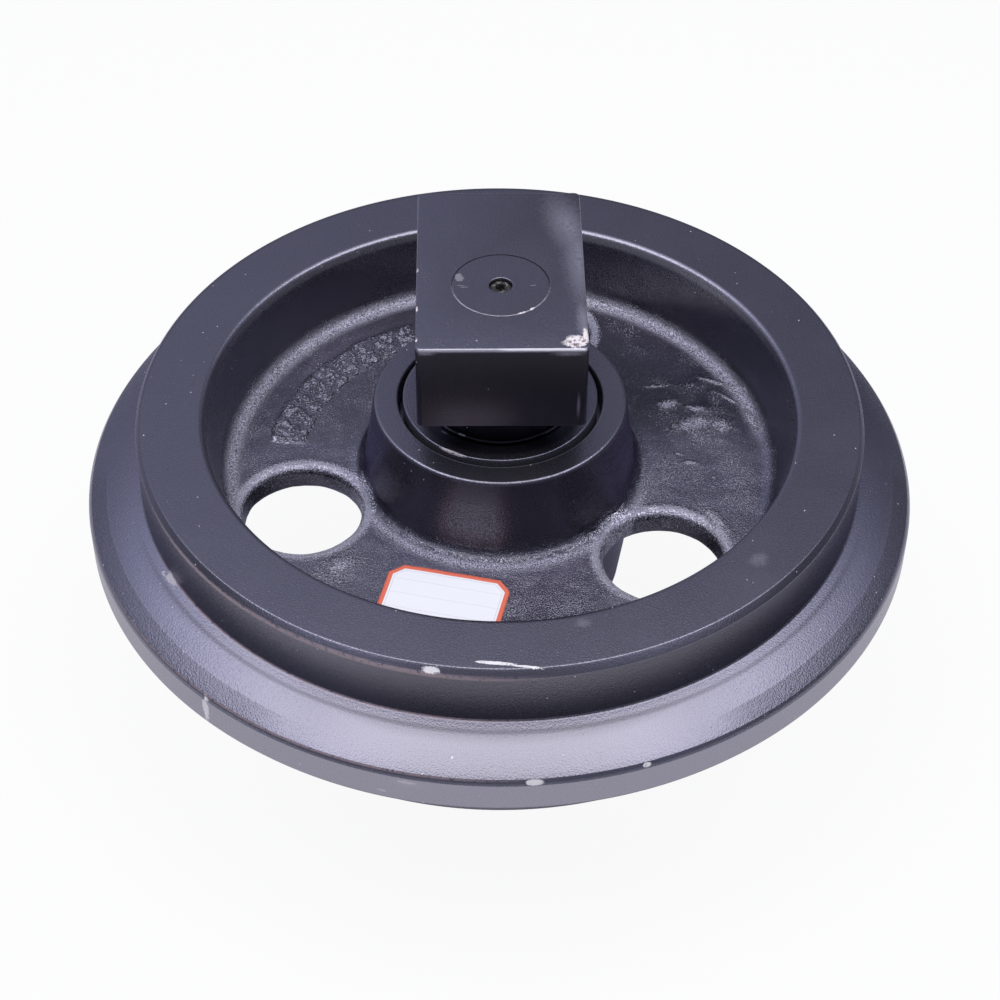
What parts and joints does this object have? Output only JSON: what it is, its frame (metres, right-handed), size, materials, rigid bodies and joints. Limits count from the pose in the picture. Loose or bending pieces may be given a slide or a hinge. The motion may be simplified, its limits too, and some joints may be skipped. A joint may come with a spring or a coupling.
{
  "type": "excavator front idler",
  "caption": "Front idler of a crawler excavator: cast wheel with a central guide flange, turning on a fixed shaft held by a block bracket at each end.",
  "frame": {"origin": "middle of the hub on the shaft's axis, which is the centre of the whole part's box", "axes": "+Z along the shaft, +Y towards the long side of the bracket blocks, where the tensioner yoke pushes, +X to the side"},
  "size_m": [0.4448, 0.4448, 0.27],
  "materials": {
    "wheel_paint": "satin black paint on a cast wheel with machined rim faces",
    "bracket_paint": "satin black paint, worn through on the edges",
    "shaft_steel": "hardened steel, ends under black paint",
    "pin_steel": "plain steel pin",
    "bush_bronze": "bronze bearing metal",
    "seal_iron": "lapped hard iron",
    "seal_rubber": "matt nitrile rubber",
    "plug_steel": "steel socket plug, dusty"
  },
  "bodies": {
    "axle_assembly": {"idler_shaft": "shaft_steel", "bracket_upper": "bracket_paint", "bracket_lower": "bracket_paint", "lock_pin_upper": "pin_steel", "lock_pin_lower": "pin_steel", "shaft_o_ring_upper": "seal_rubber", "shaft_o_ring_lower": "seal_rubber", "seal_ring_fixed_upper": "seal_iron", "seal_ring_fixed_lower": "seal_iron", "seal_rubber_fixed_upper": "seal_rubber", "seal_rubber_fixed_lower": "seal_rubber", "oil_fill_plug": "plug_steel", "plug_seal_ring": "seal_rubber"},
    "wheel": {"idler_wheel": "wheel_paint", "bush_upper": "bush_bronze", "bush_lower": "bush_bronze", "seal_ring_turning_upper": "seal_iron", "seal_ring_turning_lower": "seal_iron", "seal_rubber_turning_upper": "seal_rubber", "seal_rubber_turning_lower": "seal_rubber"}
  },
  "joints": [
    {"name": "wheel_spin", "type": "hinge", "parent": "axle_assembly", "child": "wheel", "pos_m": [0, 0, 0], "axis": [0, 0, 1], "continuous": true}
  ]
}
